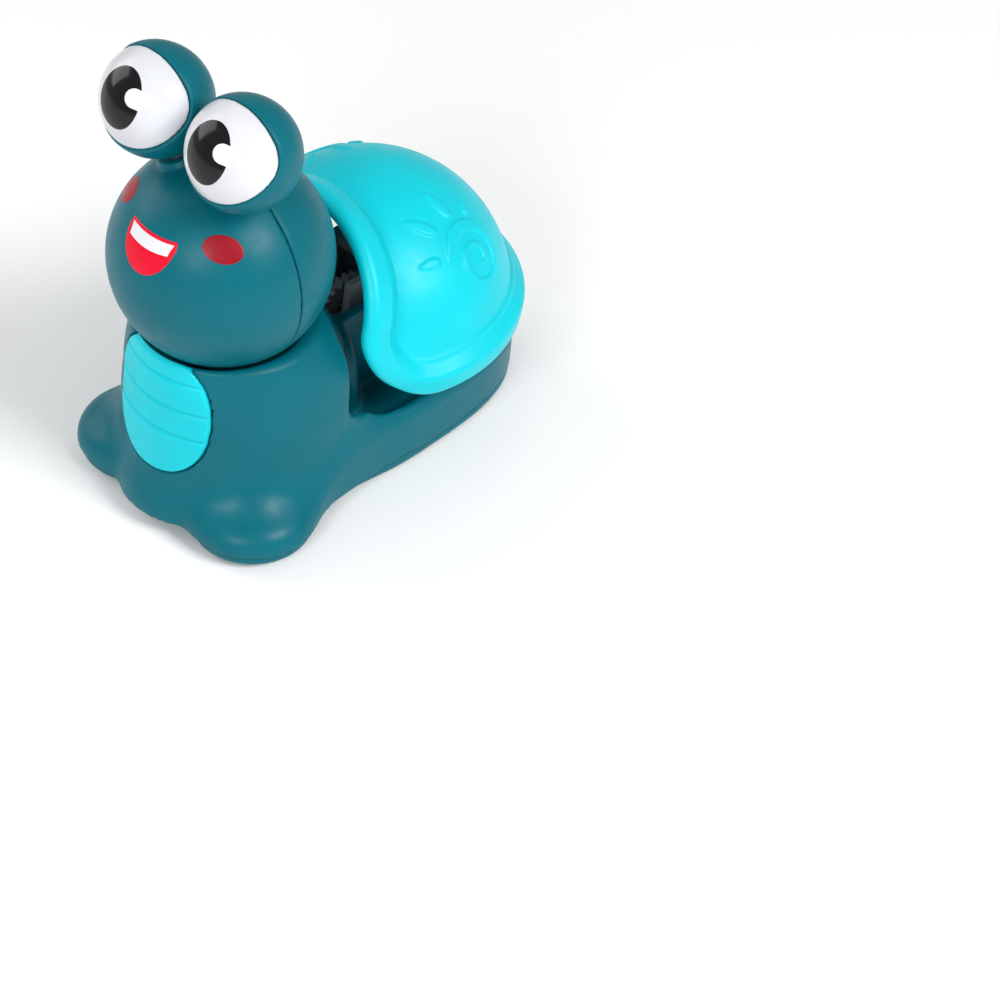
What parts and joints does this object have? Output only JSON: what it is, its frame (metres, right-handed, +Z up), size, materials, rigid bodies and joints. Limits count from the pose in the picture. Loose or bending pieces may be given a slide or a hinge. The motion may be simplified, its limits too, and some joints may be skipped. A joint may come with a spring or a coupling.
{
  "type": "push-and-go toy snail",
  "caption": "Toy snail on wheels: its domed shell presses down as a button that drives a gear train; the head and the two eyes turn.",
  "frame": {"origin": "on the floor, under the middle of the snail's bounding box", "axes": "+Z up, -Y the way the snail faces, +X its left side"},
  "size_m": [0.0817, 0.1197, 0.1217],
  "materials": {
    "body_colour": "satin moulded",
    "shell_colour": "satin moulded",
    "eye_white": "polished",
    "inner_plastic": "plain moulded",
    "wheel": "plain moulded",
    "steel": "plated"
  },
  "bodies": {
    "chassis": {"body_shell": "body_colour", "base_plate": "body_colour", "belly_panel": "shell_colour", "gearbox_frame": "inner_plastic", "gearbox_cover": "inner_plastic", "gearbox_screw_1": "steel", "gearbox_screw_2": "steel", "rack_gear_shaft": "steel", "swing_pin": "steel", "drive_shaft": "steel", "flywheel_shaft": "steel", "return_spring": "steel", "body_screw_1": "steel", "body_screw_2": "steel", "body_screw_3": "steel", "body_screw_4": "steel"},
    "shell": {"snail_shell": "shell_colour", "plunger": "inner_plastic", "shell_screw_left": "steel", "shell_screw_right": "steel"},
    "head": {"head_front": "body_colour", "head_back": "body_colour", "head_pin": "inner_plastic", "head_washer": "steel", "head_screw": "steel"},
    "eye_left": {"eye_cap_left": "body_colour", "eye_white_left": "eye_white", "eye_pin_left": "inner_plastic", "eye_clip_left": "steel"},
    "eye_right": {"eye_cap_right": "body_colour", "eye_white_right": "eye_white", "eye_pin_right": "inner_plastic", "eye_clip_right": "steel"},
    "rack_gear": {"rack_gear": "inner_plastic"},
    "swing_gear": {"swing_gear": "inner_plastic"},
    "rear_axle": {"rear_axle": "steel", "axle_gear": "inner_plastic", "rear_wheel_left": "wheel", "rear_wheel_right": "wheel"},
    "drive_gear": {"drive_gear": "inner_plastic"},
    "flywheel": {"flywheel": "steel"},
    "front_axle": {"front_axle": "steel", "front_wheel_left": "wheel", "front_wheel_right": "wheel"}
  },
  "joints": [
    {"name": "shell_press", "type": "slide", "parent": "chassis", "child": "shell", "axis": [0, 0, -1], "range_m": [0, 0.006], "stiffness_N_per_m": 900, "springref_m": -0.004, "deforming": ["return_spring"]},
    {"name": "head_turn", "type": "hinge", "parent": "chassis", "child": "head", "pos_m": [0, -0.0331, 0.06885], "axis": [0, 0, 1], "range_deg": [-60, 60]},
    {"name": "eye_left_turn", "type": "hinge", "parent": "head", "child": "eye_left", "pos_m": [0.01404, -0.03958, 0.10813], "axis": [0.3326, -0.1535, 0.9305], "range_deg": [-25, 25]},
    {"name": "eye_right_turn", "type": "hinge", "parent": "head", "child": "eye_right", "pos_m": [-0.01404, -0.03958, 0.10813], "axis": [-0.3326, -0.1535, 0.9305], "range_deg": [-25, 25]},
    {"name": "rack_gear_turn", "type": "hinge", "parent": "chassis", "child": "rack_gear", "pos_m": [0, 0.00724, 0.03085], "axis": [1, 0, 0], "range_deg": [-72, 0]},
    {"name": "swing_gear_turn", "type": "hinge", "parent": "chassis", "child": "swing_gear", "pos_m": [0, 0.01611, 0.0195], "axis": [1, 0, 0], "range_deg": [0, 187]},
    {"name": "rear_axle_spin", "type": "hinge", "parent": "chassis", "child": "rear_axle", "pos_m": [0, 0.036, 0.0085], "axis": [1, 0, 0], "continuous": true},
    {"name": "drive_gear_spin", "type": "hinge", "parent": "chassis", "child": "drive_gear", "pos_m": [0, 0.02801, 0.0195], "axis": [1, 0, 0], "continuous": true},
    {"name": "flywheel_spin", "type": "hinge", "parent": "chassis", "child": "flywheel", "pos_m": [0, 0.02601, 0.03295], "axis": [1, 0, 0], "continuous": true},
    {"name": "front_axle_spin", "type": "hinge", "parent": "chassis", "child": "front_axle", "pos_m": [0, -0.028, 0.0085], "axis": [1, 0, 0], "continuous": true}
  ],
  "couplings": [
    {"joint": "rack_gear_turn", "follows": "shell_press", "rad_per_m": -208.33},
    {"joint": "swing_gear_turn", "follows": "shell_press", "rad_per_m": 541.67},
    {"joint": "drive_gear_spin", "follows": "rear_axle_spin", "ratio": -0.41667},
    {"joint": "flywheel_spin", "follows": "rear_axle_spin", "ratio": 1}
  ]
}
